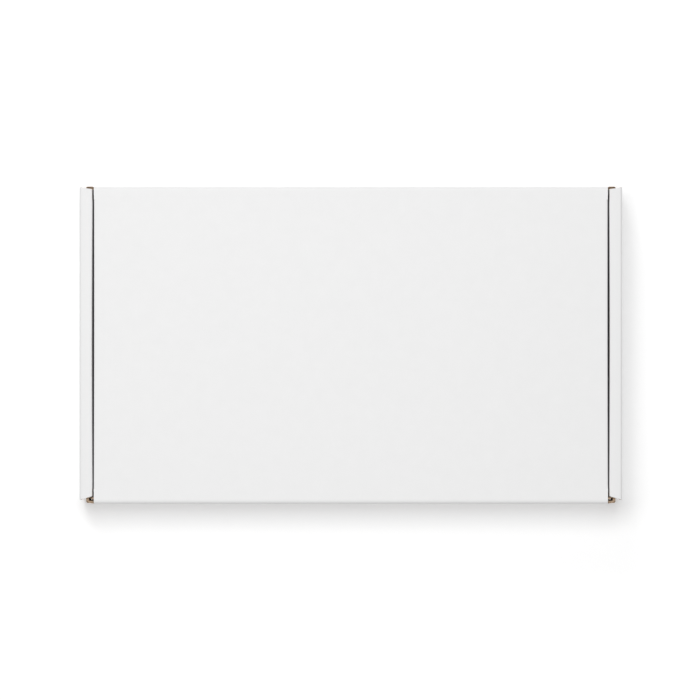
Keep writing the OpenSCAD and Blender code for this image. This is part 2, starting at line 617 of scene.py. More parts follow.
@dataclass(frozen=True)
class PaperFinish:
    """A sheet of paper: its colour, its pulp and how it takes light.

    Attributes:
        name: Material name.
        colour: Main colour, linear.
        shade: Colour of the darker pulp clouds.
        speck: Colour of the specks.
        speck_share: Share of the cells that hold a speck.
        clouds_scale: Scale of the clouds, in cycles per metre.
        clouds: How strongly the clouds show, 0 to 1.
        hairs: How strongly the fibres darken the colour, 0 to 1.
        roughness: Surface roughness.
        grain: Height of the fibre bump.
        washboard: Height of the flutes that show through.
        rolled: How strongly the rolled-over sides take the darker colour.
        rub: How strongly the folds are worn.
        rub_colour: Colour of the worn folds.
    """

    name: str
    colour: tuple[float, float, float]
    shade: tuple[float, float, float]
    speck: tuple[float, float, float]
    speck_share: float
    clouds_scale: float
    clouds: float
    hairs: float
    roughness: float
    grain: float
    washboard: float
    rolled: float
    rub: float
    rub_colour: tuple[float, float, float]

    def material(self, groups: "PaperGroups") -> bpy.types.Material:
        """Build the node material.

        Args:
            groups: The shared node groups.

        Returns:
            The new material.
        """
        made = bpy.data.materials.new(self.name)
        made.use_nodes = True
        tree = made.node_tree
        nodes, link = tree.nodes, tree.links.new
        surface = nodes["Principled BSDF"]
        coords = nodes.new("ShaderNodeTexCoord")

        fibres = groups.place(tree, groups.fibres)
        fibres.inputs["Clouds Scale"].default_value = self.clouds_scale
        fibres.inputs["Speck Share"].default_value = self.speck_share
        link(coords.outputs["Object"], fibres.inputs["Vector"])
        flutes = groups.place(tree, groups.flutes)
        link(coords.outputs["UV"], flutes.inputs["UV"])
        wear = groups.place(tree, groups.wear)
        link(coords.outputs["Object"], wear.inputs["Vector"])

        def mix(share: bpy.types.NodeSocket, strength: float,
                base: object, top: tuple[float, float, float]) -> bpy.types.NodeSocket:
            """Lay a colour over another.

            Args:
                share: Mask of the upper colour.
                strength: What the mask is multiplied by.
                base: The lower colour, or a socket that gives it.
                top: The upper colour.

            Returns:
                The mixed colour.
            """
            weight = nodes.new("ShaderNodeMath")
            weight.operation = "MULTIPLY"
            weight.inputs[1].default_value = strength
            link(share, weight.inputs[0])
            layer = nodes.new("ShaderNodeMix")
            layer.data_type = "RGBA"
            link(weight.outputs[0], layer.inputs["Factor"])
            if isinstance(base, bpy.types.NodeSocket):
                link(base, layer.inputs["A"])
            else:
                layer.inputs["A"].default_value = (*base, 1.0)
            layer.inputs["B"].default_value = (*top, 1.0)
            return layer.outputs["Result"]

        colour = mix(fibres.outputs["Clouds"], self.clouds, self.colour, self.shade)
        colour = mix(fibres.outputs["Hairs"], self.hairs, colour, self.shade)
        colour = mix(fibres.outputs["Specks"], 0.8, colour, self.speck)
        colour = mix(wear.outputs["Rolled"], self.rolled, colour, self.shade)
        colour = mix(wear.outputs["Rub"], self.rub, colour, self.rub_colour)
        colour = mix(wear.outputs["Crack"], self.rub, colour, self.speck)
        link(colour, surface.inputs["Base Color"])

        rough = nodes.new("ShaderNodeMapRange")
        rough.inputs["To Min"].default_value = self.roughness - 0.06
        rough.inputs["To Max"].default_value = self.roughness + 0.06
        link(fibres.outputs["Clouds"], rough.inputs["Value"])
        link(rough.outputs["Result"], surface.inputs["Roughness"])

        ribs = nodes.new("ShaderNodeBump")
        ribs.inputs["Strength"].default_value = 1.0
        ribs.inputs["Distance"].default_value = self.washboard
        link(flutes.outputs["Ridge"], ribs.inputs["Height"])
        grain = nodes.new("ShaderNodeBump")
        grain.inputs["Strength"].default_value = 1.0
        grain.inputs["Distance"].default_value = self.grain
        link(fibres.outputs["Height"], grain.inputs["Height"])
        link(ribs.outputs["Normal"], grain.inputs["Normal"])
        link(grain.outputs["Normal"], surface.inputs["Normal"])
        surface.inputs["Specular IOR Level"].default_value = 0.35
        return made


class PaperGroups:
    """The node groups that all the papers share."""

    def __init__(self, plan: Plan) -> None:
        """Build each group once.

        Args:
            plan: Plan of the box.
        """
        self.fibres = fibre_group()
        self.flutes = flute_group()
        self.wear = wear_group(plan)

    @staticmethod
    def place(tree: bpy.types.NodeTree, group: bpy.types.NodeTree) -> bpy.types.Node:
        """Put a group into a material's tree.

        Args:
            tree: The material's tree.
            group: The group.

        Returns:
            The group's node.
        """
        made = tree.nodes.new("ShaderNodeGroup")
        made.node_tree = group
        return made


WHITE_PAPER = PaperFinish(
    name="white_liner", colour=(0.89, 0.89, 0.89), shade=(0.85, 0.85, 0.85),
    speck=(0.6, 0.58, 0.56), speck_share=0.0, clouds_scale=170.0, clouds=0.7,
    hairs=0.12, roughness=0.62, grain=0.012 * MM, washboard=0.012 * MM, rolled=0.5, rub=0.25,
    rub_colour=(0.80, 0.79, 0.77))

KRAFT_PAPER = PaperFinish(
    name="kraft_liner", colour=(0.52, 0.36, 0.225), shade=(0.36, 0.235, 0.135),
    speck=(0.16, 0.095, 0.05), speck_share=0.16, clouds_scale=120.0, clouds=0.75,
    hairs=0.5, roughness=0.82, grain=0.03 * MM, washboard=0.045 * MM, rolled=0.0, rub=0.2,
    rub_colour=(0.58, 0.43, 0.3))

CUT_PAPER = PaperFinish(
    name="cut_edge", colour=(0.62, 0.47, 0.34), shade=(0.42, 0.30, 0.20),
    speck=(0.2, 0.13, 0.08), speck_share=0.2, clouds_scale=500.0, clouds=0.7,
    hairs=0.4, roughness=0.9, grain=0.05 * MM, washboard=0.0, rolled=0.0, rub=0.0,
    rub_colour=(0.5, 0.38, 0.28))


# Cutting and folding the liners


def nothing_selected() -> None:
    """Leave edit mode and deselect everything."""
    if bpy.context.object is not None and bpy.context.object.mode == "EDIT":
        bpy.ops.object.mode_set(mode="OBJECT")
    bpy.ops.object.select_all(action="DESELECT")


def only(obj: bpy.types.Object) -> None:
    """Make an object the one selected and active.

    Args:
        obj: The object.
    """
    nothing_selected()
    obj.select_set(True)
    bpy.context.view_layer.objects.active = obj


def papered(obj: bpy.types.Object, name: str, papers: Papers) -> bpy.types.Object:
    """Name a new mesh and give it the three papers in the order of their slots.

    Args:
        obj: The new mesh.
        name: Its name.
        papers: The three papers.

    Returns:
        The same object.
    """
    obj.name = obj.data.name = name
    for slot in Slot:
        obj.data.materials.append(papers[slot])
    return obj


def outward(vertex: bpy.types.MeshVertex, by: float) -> None:
    """Move a vertex away from the middle of the box along X, or towards it if by is below 0."""
    vertex.co.x += by if vertex.co.x > 0 else -by


class Sheet:
    """A liner that is cut and folded in edit mode, as a box maker folds a blank."""

    def __init__(self, name: str, papers: Papers, low: tuple[float, float],
                 high: tuple[float, float], level: float, upright: bool = False) -> None:
        """Start from one flat panel.

        Args:
            name: Name of the object.
            papers: The three papers.
            low: Lowest corner in XY, or in XZ if upright.
            high: Highest corner in the same plane.
            level: Height of the panel, or its Y if upright.
            upright: Whether the panel stands in the XZ plane.
        """
        nothing_selected()
        a, b = (low[0] + high[0]) / 2, (low[1] + high[1]) / 2
        place = (a, level, b) if upright else (a, b, level)
        turn = (QUARTER, 0, 0) if upright else (0, 0, 0)
        bpy.ops.mesh.primitive_plane_add(size=1, location=place, rotation=turn)
        self.object = papered(bpy.context.object, name, papers)
        self.object.scale = (high[0] - low[0], high[1] - low[1], 1)
        bpy.ops.object.transform_apply(location=True, rotation=True, scale=True)
        bpy.ops.object.mode_set(mode="EDIT")

    def pick(self, mode: str, test: Callable[[Vector], bool], free: bool = False) -> int:
        """Select what lies wholly where test holds.

        Args:
            mode: VERT, EDGE or FACE.
            test: Says of a vertex's place whether it counts, or of a face's centre.
            free: Whether an edge counts only where the sheet ends.

        Returns:
            How many elements are selected.
        """
        bpy.ops.mesh.select_mode(type=mode)
        form = bmesh.from_edit_mesh(self.object.data)
        for kind in (form.faces, form.edges, form.verts):
            for item in kind:
                item.select_set(False)
        if mode == "FACE":
            found = [f for f in form.faces if test(f.calc_center_median())]
        elif mode == "EDGE":
            found = [e for e in form.edges if all(test(v.co) for v in e.verts)
                     and (len(e.link_faces) == 1 or not free)]
        else:
            found = [v for v in form.verts if test(v.co)]
        for item in found:
            item.select_set(True)
        form.select_flush_mode()
        bmesh.update_edit_mesh(self.object.data)
        return len(found)

    def rim(self, test: Callable[[Vector], bool]) -> int:
        """Select the free edges that lie wholly where test holds, and count them."""
        return self.pick("EDGE", test, free=True)

    def cut(self, place: tuple[float, float, float], across: tuple[float, float, float],
            where: Callable[[Vector], bool] = lambda p: True) -> "Sheet":
        """Cut faces along a plane without parting them.

        Args:
            place: A point of the plane.
            across: Its normal.
            where: Says of a face's centre whether it is cut.

        Returns:
            This sheet.
        """
        if self.pick("FACE", where):
            bpy.ops.mesh.bisect(plane_co=place, plane_no=across)
        return self

    def slice(self, low: float, high: float,
              where: Callable[[Vector], bool] = lambda p: True) -> "Sheet":
        """Cut faces across Y into even slices, so that they can bow.

        Args:
            low: Y of the front end.
            high: Y of the back end.
            where: Says of a face's centre whether it is cut.

        Returns:
            This sheet.
        """
        for step in range(1, SLICES):
            self.cut((0, low + (high - low) * step / SLICES, 0), (0, 1, 0), where)
        return self

    def drop(self, where: Callable[[Vector], bool]) -> "Sheet":
        """Cut faces away.

        Args:
            where: Says of a face's centre whether it goes.

        Returns:
            This sheet.
        """
        if self.pick("FACE", where):
            bpy.ops.mesh.delete(type="FACE")
        return self

    def pull(self, by: tuple[float, float, float]) -> "Sheet":
        """Extend the sheet from the selected edge."""
        bpy.ops.mesh.extrude_region_move(TRANSFORM_OT_translate={"value": by})
        return self

    def turn(self, centre: tuple[float, float, float], axis: tuple[float, float, float],
             angle: float = QUARTER, steps: int = 6) -> "Sheet":
        """Carry the selected edge round a crease, by the right-hand rule about axis."""
        bpy.ops.mesh.spin(steps=steps, dupli=False, angle=-angle, center=centre, axis=axis)
        return self

    def shift(self, test: Callable[[Vector], bool], by: tuple[float, float, float]) -> "Sheet":
        """Move vertices.

        Args:
            test: Says of a vertex's place whether it moves.
            by: How far it does.

        Returns:
            This sheet.
        """
        if self.pick("VERT", test):
            bpy.ops.transform.translate(value=by)
        return self

    def crisp(self, axes: tuple[int, int], centre: tuple[float, float],
              out: tuple[int, int], radius: float, press: float = Board.pressed) -> "Sheet":
        """Press the outside of a crease from a round into a tighter corner.

        Args:
            axes: The two axes across the crease.
            centre: The middle of its round in those axes.
            out: The direction of its outside along each of them.
            radius: Radius of the round.
            press: Exponent of the superellipse, 2 for a round and more for a tighter corner.

        Returns:
            This sheet.
        """
        form = bmesh.from_edit_mesh(self.object.data)
        for vertex in form.verts:
            u, w = ((vertex.co[a] - c) * o for a, c, o in zip(axes, centre, out))
            if min(u, w) > TINY and abs(math.hypot(u, w) - radius) < TINY:
                grow = ((u / radius)**press + (w / radius)**press) ** (-1 / press)
                for a, middle in zip(axes, centre):
                    vertex.co[a] = middle + (vertex.co[a] - middle) * grow
        bmesh.update_edit_mesh(self.object.data)
        return self

    def rounded(self, test: Callable[[Vector], bool], radius: float) -> "Sheet":
        """Round corners of the sheet.

        Args:
            test: Says of a corner's place whether it is rounded.
            radius: The radius.

        Returns:
            This sheet.
        """
        if self.pick("VERT", test):
            bpy.ops.mesh.bevel(offset=radius, segments=8, affect="VERTICES")
        return self

    def thickened(self, side: Side, board: Board, look: tuple[Vector, Vector]) -> bpy.types.Object:
        """Weld the sheet, point its faces to the white side and give it its thickness.

        Args:
            side: Which liner it is.
            board: Its board.
            look: A place on the sheet and the direction of the white side there.

        Returns:
            The finished object, a closed shell.
        """
        bpy.ops.mesh.select_mode(type="VERT")
        bpy.ops.mesh.select_all(action="SELECT")
        bpy.ops.mesh.remove_doubles(threshold=TINY / 4)
        bpy.ops.mesh.normals_make_consistent(inside=False)
        form = bmesh.from_edit_mesh(self.object.data)
        nearest = min(form.faces, key=lambda f: (f.calc_center_median() - look[0]).length)
        if nearest.normal.dot(look[1]) < 0:
            bpy.ops.mesh.flip_normals()
        bpy.ops.object.mode_set(mode="OBJECT")
        paper = Slot.WHITE if side is Side.WHITE else Slot.KRAFT
        for face in self.object.data.polygons:
            face.material_index = paper.value
        shell = self.object.modifiers.new("liner", "SOLIDIFY")
        shell.thickness = board.liner
        shell.offset = -1.0 if side is Side.WHITE else 1.0
        shell.use_even_offset = True
        shell.material_offset = Slot.CUT.value - paper.value
        shell.material_offset_rim = Slot.CUT.value - paper.value
        only(self.object)
        bpy.ops.object.modifier_apply(modifier=shell.name)
        return self.object


class MiddleLine:
    """Middle of a run of board, drawn as straights and folds in the plane across its flutes."""

    def __init__(self, start: tuple[float, float], heading: tuple[float, float],
                 upright: bool) -> None:
        """Start a line.

        Args:
            start: First point, in XZ if upright and otherwise in XY.
            heading: Direction of the first straight.
            upright: Whether the line lies in the XZ plane, so that the flutes run along Y.
        """
        self.upright = upright
        self.points: list[tuple[Vector, Vector]] = []
        self.place, self.heading = Vector(start), Vector(heading)
        self._add()

    def _add(self) -> None:
        """Keep the present point and the normal on its right."""
        normal = Vector((self.heading.y, -self.heading.x))
        self.points.append((self.place.copy(), normal))

    def straight(self, length: float) -> "MiddleLine":
        """Go straight on.

        Args:
            length: How far.

        Returns:
            This line.
        """
        self.place = self.place + self.heading * length
        self._add()
        return self

    def fold(self, radius: float, way: int = 1, steps: int = 8) -> "MiddleLine":
        """Turn by a quarter.

        Args:
            radius: Radius of the turn.
            way: 1 to the left, -1 to the right.
            steps: Number of points along it.

        Returns:
            This line.
        """
        centre = self.place + Vector((-self.heading.y, self.heading.x)) * radius * way
        arm, start = self.place - centre, self.heading.copy()
        for step in range(1, steps + 1):
            angle = way * QUARTER * step / steps
            c, s = math.cos(angle), math.sin(angle)
            self.place = centre + Vector((arm.x * c - arm.y * s, arm.x * s + arm.y * c))
            self.heading = Vector((start.x * c - start.y * s, start.x * s + start.y * c))
            self._add()
        return self

    def at(self, distances: list[float]) -> list[tuple[Vector, Vector]]:
        """Find places along the line.

        Args:
            distances: Rising distances from its start.

        Returns:
            The point and the normal at each of them.
        """
        found, index, walked = [], 0, 0.0
        for distance in distances:
            while index < len(self.points) - 2:
                step = (self.points[index + 1][0] - self.points[index][0]).length
                if walked + step >= distance:
                    break
                walked, index = walked + step, index + 1
            (a, na), (b, nb) = self.points[index], self.points[index + 1]
            share = clamp((distance - walked) / max((b - a).length, 1e-9))
            found.append((a.lerp(b, share), na.lerp(nb, share).normalized()))
        return found

    @property
    def length(self) -> float:
        """Whole length of the line."""
        return sum((b[0] - a[0]).length for a, b in zip(self.points, self.points[1:]))


Reach = Callable[[float, float], tuple[float, float]]


def ribbon(name: str, papers: Papers, line: MiddleLine, board: Board, count: int,
           shape: Callable[[int, Vector, bool], tuple[float, float]]) -> bpy.types.Object:
    """Lay a thin sheet of the medium's paper along a middle line.

    Args:
        name: Name of the object.
        papers: The three papers.
        line: Middle of the board.
        board: Gives the paper's thickness.
        count: Number of steps along the line.
        shape: For a step, its place and the near or far edge of the ribbon, the distance
            from the middle line and the place along the flutes.

    Returns:
        The sheet, a closed shell.
    """
    nothing_selected()
    bpy.ops.mesh.primitive_grid_add(x_subdivisions=count, y_subdivisions=1, size=1)
    sheet = papered(bpy.context.object, name, papers)
    stations = line.at([line.length * step / count for step in range(count + 1)])
    for vertex in sheet.data.vertices:
        step = round((vertex.co.x + 0.5) * count)
        place, normal = stations[step]
        aside, along = shape(step, place, vertex.co.y > 0)
        across = place + normal * aside
        vertex.co = (across.x, along, across.y) if line.upright else (across.x, across.y, along)
    thick = sheet.modifiers.new("medium", "SOLIDIFY")
    thick.thickness = board.medium
    thick.offset = 0.0
    bpy.ops.object.modifier_apply(modifier=thick.name)
    for face in sheet.data.polygons:
        face.material_index = Slot.CUT.value
    return sheet


def fluted_sheet(name: str, papers: Papers, line: MiddleLine, board: Board,
                 reach: Reach) -> list[bpy.types.Object]:
    """Make the wavy sheet inside the board, and the crushed medium that closes its cut ends.

    Args:
        name: Name of the objects.
        papers: The three papers.
        line: Middle of the board.
        board: Gives pitch, swing and thickness.
        reach: For a point of the line, the ends of the flute there.

    Returns:
        The fluted sheet and its two crushed ends.
    """
    per_flute = 8
    count = max(per_flute, round(line.length / board.pitch) * per_flute)

    def wave(step: int, place: Vector, far: bool) -> tuple[float, float]:
        """Swing of the flutes from end to end."""
        return (board.swing * math.sin(2 * math.pi * step / per_flute),
                reach(place.x, place.y)[far])

    def crushed(inset: float, end: int) -> Callable[[int, Vector, bool], tuple[float, float]]:
        """Shape of the ribbon that closes the flutes at one end.

        Args:
            inset: How far in from the end it stands.
            end: Which end.

        Returns:
            The shape, from liner to liner.
        """
        half = board.thickness / 2 - board.liner
        return lambda step, place, far: (
            half if far else -half, reach(place.x, place.y)[end] + inset)

    made = [ribbon(name, papers, line, board, count, wave)]
    for end, inset in ((0, board.crush), (1, -board.crush)):
        made.append(ribbon(f"{name}_end_{end}", papers, line, board, count // 2,
                           crushed(inset, end)))
    return made


# The pieces of the box


@dataclass
class BoardPiece(ABC):
    """What every piece of board shares: its plan, its papers and its two liners."""

    plan: Plan
    papers: Papers

    @abstractmethod
    def liner(self, side: Side) -> bpy.types.Object:
        """Fold one liner of the piece."""

    @abstractmethod
    def build(self) -> bpy.types.Object:
        """Make the whole piece."""

    def liners(self) -> list[bpy.types.Object]:
        """Both liners, the white one first."""
        return [self.liner(side) for side in Side]

    @property
    def board(self) -> Board:
        """The board that the piece is made of."""
        return self.plan.board

    def joined(self, name: str, parts: Iterable[bpy.types.Object]) -> bpy.types.Object:
        """Join meshes that have the same papers into one object.

        Args:
            name: Name of the result.
            parts: The objects to join.

        Returns:
            The joined object.
        """
        parts = list(parts)
        only(parts[0])
        for part in parts[1:]:
            part.select_set(True)
        bpy.ops.object.join()
        result = bpy.context.object
        result.name = result.data.name = name
        return result

    def dress(self, piece: bpy.types.Object, ears: bool = False) -> bpy.types.Object:
        """Give a piece soft creases and a UV map across its flutes.

        Args:
            piece: The joined mesh.
            ears: Whether the flutes stand upright in the faces that look sideways.

        Returns:
            The same piece.
        """
        while piece.data.uv_layers:
            piece.data.uv_layers.remove(piece.data.uv_layers[0])
        layer = piece.data.uv_layers.new(name="flutes")
        for face in piece.data.polygons:
            n = [abs(c) for c in face.normal]
            if n[2] >= max(n[0], n[1]):
                axes = (0, 1)
            elif n[1] >= n[0]:
                axes = (0, 2)
            else:
                axes = (1, 2) if ears else (2, 1)
            for loop in face.loop_indices:
                place = piece.data.vertices[piece.data.loops[loop].vertex_index].co
                layer.data[loop].uv = (place[axes[0]], place[axes[1]])
        only(piece)
        bpy.ops.object.shade_smooth_by_angle(angle=math.radians(32))
        return piece


class Tray(BoardPiece):
    """Bottom, walls, roll-over strips, inner side walls and corner flaps: one folded run."""

    def liner(self, side: Side) -> bpy.types.Object:
        """Fold one liner of the tray.

        Args:
            side: Which liner.

        Returns:
            The liner as a closed shell.
        """
        p, d, bend = self.plan, self.board.depth(side), self.board.bend
        sheet = Sheet(f"tray_{side.value}", self.papers, (-p.fold_x, p.front_fold),
                      (p.fold_x, p.back_fold), d)
        for s in SIDES:
            sheet.cut((s * p.wall_end, 0, 0), (1, 0, 0))
            sheet.cut((s * p.lid_half, 0, 0), (1, 0, 0))
        self.slots(sheet)
        self.wall(sheet, front=True, depth=d)
        self.wall(sheet, front=False, depth=d)
        for s in SIDES:
            self.side(sheet, s)
        if side is Side.WHITE:
            self.press(sheet)
        self.slant(sheet, d)
        return sheet.thickened(side, self.board, (Vector((0, 0, d)), Vector((0, 0, -1))))

    def slots(self, sheet: Sheet) -> None:
        """Cut the four slots in the bottom that take the inner walls' tabs.

        Args:
            sheet: The liner.
        """
        p = self.plan
        low, high = p.inner_x - p.tab_gap, p.inner_x + self.board.thickness + p.tab_gap
        for s in SIDES:
            def near(q: Vector, s: int = s) -> bool:
                """Whether a place is at this side."""
                return s * q.x > p.lid_half

            sheet.cut((s * low, 0, 0), (1, 0, 0), near)
            sheet.cut((s * high, 0, 0), (1, 0, 0), near)
            for t in SIDES:
                ends = [t * p.tab_at + e * (p.tab_w / 2 + p.tab_gap) for e in SIDES]
                for end in ends:
                    sheet.cut((0, end, 0), (0, 1, 0), near)
                sheet.drop(lambda q, s=s, e=ends: low < s * q.x < high and min(e) < q.y < max(e))

    def side(self, sheet: Sheet, s: int) -> None:
        """Fold up a side wall, its strip and its inner wall.

        Args:
            sheet: The liner.
            s: 1 for the right side, -1 for the left.
        """
        p, bend = self.plan, self.board.bend
        low, high = bend, p.strip_top - bend
        sheet.rim(lambda q: abs(q.x - s * p.fold_x) < TINY)
        sheet.turn((s * p.fold_x, 0, low), (0, -s, 0))
        sheet.pull((0, 0, high - low))
        sheet.turn((s * p.fold_x, 0, high), (0, -s, 0))
        sheet.pull((-s * (p.strip_w - 2 * bend), 0, 0))
        sheet.turn((s * (p.inner_x + bend), 0, high), (0, -s, 0))
        sheet.pull((0, 0, -(high - self.board.thickness - p.lay_gap)))

    def wall(self, sheet: Sheet, front: bool, depth: float) -> None:
        """Fold up the front or back wall with its two corner flaps.

        Args:
            sheet: The liner.
            front: Whether it is the front wall.
            depth: Depth of the liner below the white face.
        """
        p, bend = self.plan, self.board.bend
        way = 1 if front else -1
        fold = p.front_fold if front else p.back_fold
        face = fold - way * (bend - depth)
        foot, top = bend + p.end_gap, p.corner_top if front else p.hidden_top
        zone = p.height - BACK_ZONE.on_wall
        sheet.rim(lambda q: abs(q.y - fold) < TINY and abs(q.x) < p.wall_end + TINY
                  and q.z < depth + TINY)
        sheet.turn((0, fold, bend), (-way, 0, 0))
        sheet.pull((0, 0, foot - bend))

        def on_wall(q: Vector, z: float) -> bool:
            """Whether a place is on the wall at a height."""
            return abs(q.y - face) < TINY and abs(q.z - z) < TINY

        sheet.pull((0, 0, zone - foot))
        if front:
            sheet.rim(lambda q: on_wall(q, zone))
            sheet.pull((0, 0, p.front_top - zone))
            sheet.shift(lambda q: on_wall(q, p.front_top) and abs(q.x) > p.wall_end - TINY,
                        (0, 0, top - p.front_top))
        else:
            for s in SIDES:
                sheet.rim(lambda q: on_wall(q, zone) and s * q.x > p.lid_half - TINY)
                sheet.pull((0, 0, top - zone))
        for s in SIDES:
            sheet.rim(lambda q: abs(q.x - s * p.wall_end) < TINY and abs(q.y - face) < TINY
                      and foot - TINY < q.z < top + TINY)
            sheet.turn((s * p.wall_end, fold, 0), (0, 0, s * way))
            for _ in range(LEAN_STEPS):
                sheet.pull((0, way * LEAN / LEAN_STEPS, 0))
            sheet.pull((0, way * (p.corner_flap_l - p.corner_slope - LEAN), 0))
            sheet.pull((0, way * p.corner_slope, 0))
            end = fold + way * p.corner_flap_l

            def tip(q: Vector, z: float, end: float = end, s: int = s) -> bool:
                """Whether a place is on the corner flap's free edge at a height."""
                return abs(q.y - end) < TINY and s * q.x > p.wall_end and abs(q.z - z) < TINY

            for z in (top, zone):
                sheet.shift(lambda q, z=z: tip(q, z), (0, 0, -p.corner_slope))
            sheet.shift(lambda q: tip(q, foot), (0, 0, p.corner_slope))
        if front:
            sheet.shift(lambda q: abs(q.x) > p.wall_end and q.y > fold + TINY and (
                q.z > zone + TINY or abs(q.z - top + p.corner_slope) < TINY),
                        (0, 0, -p.relief))

    def press(self, sheet: Sheet) -> None:
        """Make the outsides of the tray's creases crisp.

        Args:
            sheet: The white liner.
        """
        p, bend = self.plan, self.board.bend
        high = p.strip_top - bend
        for s in SIDES:
            sheet.crisp((0, 2), (s * p.fold_x, bend), (s, -1), bend)
            sheet.crisp((0, 2), (s * p.fold_x, high), (s, 1), bend, self.board.rolled)
            sheet.crisp((0, 2), (s * (p.inner_x + bend), high), (-s, 1), bend)
            sheet.crisp((0, 1), (s * p.wall_end, p.front_fold), (s, -1), bend)
            sheet.crisp((0, 1), (s * p.wall_end, p.back_fold), (s, 1), bend)
        sheet.crisp((1, 2), (p.front_fold, bend), (-1, -1), bend)
        sheet.crisp((1, 2), (p.back_fold, bend), (1, -1), bend)

    def side_ends(self, x: float, z: float) -> tuple[float, float]:
        """Find the cut edges of the side's board at a point of its profile.

        Args:
            x: Distance of the point from the middle of the box.
            z: Its height.

        Returns:
            The front and the back edge.
        """
        p = self.plan
        inside = clamp((p.half_l - x) / p.strip_w)
        if z > p.hidden_top:
            return p.side_front + p.slant_front * inside, p.side_back - p.slant_back * inside
        if x > p.fold_x - TINY:
            return p.side_front, p.side_back
        return (p.front_y + 4 * self.board.thickness + p.end_gap,
                p.half_w - self.board.thickness - p.end_gap)

    def bow(self, y: float) -> float:
        """How far the strip's inner edge bows away from the lid at y."""
        p = self.plan
        return STRIP_BOW.at((y - p.side_front) / (p.side_back - p.side_front))

    def slant(self, sheet: Sheet, depth: float) -> None:
        """Cut the ends of the sides on a slant, and slice the strips for their bow.

        Args:
            sheet: The liner.
            depth: Depth of the liner below the white face.
        """
        p, bend = self.plan, self.board.bend
        sheet.slice(p.front_fold, p.back_fold,
                    lambda q: abs(q.x) > p.inner_x - TINY and q.z > p.hidden_top - bend)
        form = bmesh.from_edit_mesh(sheet.object.data)
        for vertex in form.verts:
            x, z = abs(vertex.co.x), vertex.co.z
            on_run = x > p.fold_x + TINY or z > p.hidden_top + p.end_gap / 2 or (
                abs(x - p.inner_x - depth) < TINY)
            if z < depth + TINY or not on_run or x < p.inner_x - TINY:
                continue
            front, back = self.side_ends(x, z)
            if abs(vertex.co.y - p.front_fold) < TINY:
                vertex.co.y = front
            elif abs(vertex.co.y - p.back_fold) < TINY:
                vertex.co.y = back
        bmesh.update_edit_mesh(sheet.object.data)

    def flutes(self) -> list[bpy.types.Object]:
        """Make the fluted sheets of the cross run and of the two walls.

        Returns:
            The sheets and their crushed ends.
        """
        p, b = self.plan, self.board
        mid, fold = b.middle, b.bend - b.middle
        rise = p.strip_top - 2 * b.bend
        inner = p.strip_top - b.bend - b.thickness - p.lay_gap
        run = MiddleLine((-p.inner_x - mid, b.thickness + p.lay_gap), (0, 1), True)
        run.straight(inner).fold(fold).straight(p.strip_w - 2 * b.bend).fold(fold)
        run.straight(rise).fold(fold).straight(2 * p.fold_x).fold(fold).straight(rise)
        run.fold(fold).straight(p.strip_w - 2 * b.bend).fold(fold).straight(inner)

        def across(x: float, z: float) -> tuple[float, float]:
            """Ends of the flutes along the cross run.

            Args:
                x: Place across the box.
                z: Height.

            Returns:
                The front and the back end.
            """
            if abs(x) < p.fold_x and z < b.bend:
                return p.front_fold, p.back_fold
            return self.side_ends(abs(x), z)

        made = fluted_sheet("tray_cross_flutes", self.papers, run, b, across)
        for front in (True, False):
            way = 1 if front else -1
            level = (p.front_y + mid) if front else (p.half_w - mid)
            start = (-p.wall_end - fold, level + way * (fold + p.corner_flap_l))
            wall = MiddleLine(start, (0, -way), False)
            wall.straight(p.corner_flap_l).fold(fold, way).straight(2 * p.wall_end)
            wall.fold(fold, way).straight(p.corner_flap_l)
            middle_top = p.front_top if front else p.height - BACK_ZONE.on_wall

            def upright(x: float, y: float, top: float = middle_top, level: float = level,
                        front: bool = front) -> tuple[float, float]:
                """Ends of the flutes along a wall and its corner flaps.

                Args:
                    x: Place along the wall.
                    y: Place across it.
                    top: Top edge of the wall between the strips.
                    level: Y of the wall's middle.
                    front: Whether it is the front wall.

                Returns:
                    The lower and the upper end.
                """
                if abs(x) < p.lid_half:
                    return b.bend, top
                behind = max(0.0, abs(y - level) - fold)
                slope = max(0.0, behind - p.corner_flap_l + p.corner_slope)
                low = b.bend if abs(x) < p.wall_end else b.bend + p.end_gap
                if front:
                    drop = p.relief * min(1.0, behind * LEAN_STEPS / LEAN)
                    return low + slope, p.corner_top - drop - slope
                return low + slope, p.hidden_top - p.relief - slope

            made += fluted_sheet(f"tray_wall_flutes_{way}", self.papers, wall, b, upright)
        return made

    def tabs(self) -> list[bpy.types.Object]:
        """Make the tabs of the inner walls, which lock into the bottom.

        Returns:
            The four tabs.
        """
        p, b, made = self.plan, self.board, []
        for s in SIDES:
            for t in SIDES:
                nothing_selected()
                low, high = p.tab_gap, b.thickness + p.lay_gap
                bpy.ops.mesh.primitive_cube_add(size=1, location=(
                    s * (p.inner_x + b.middle), t * p.tab_at, (low + high) / 2))
                tab = papered(bpy.context.object, "tab", self.papers)
                tab.scale = (b.thickness, p.tab_w, high - low)
                bpy.ops.object.transform_apply(location=True, rotation=True, scale=True)
                bpy.ops.object.mode_set(mode="EDIT")
                bpy.ops.mesh.select_all(action="SELECT")
                bpy.ops.mesh.bevel(offset=b.crush, segments=2, affect="EDGES")
                bpy.ops.object.mode_set(mode="OBJECT")
                for face in tab.data.polygons:
                    face.material_index = Slot.CUT.value
                    if s * face.normal.x < -0.9:
                        face.material_index = Slot.WHITE.value
                made.append(tab)
        return made

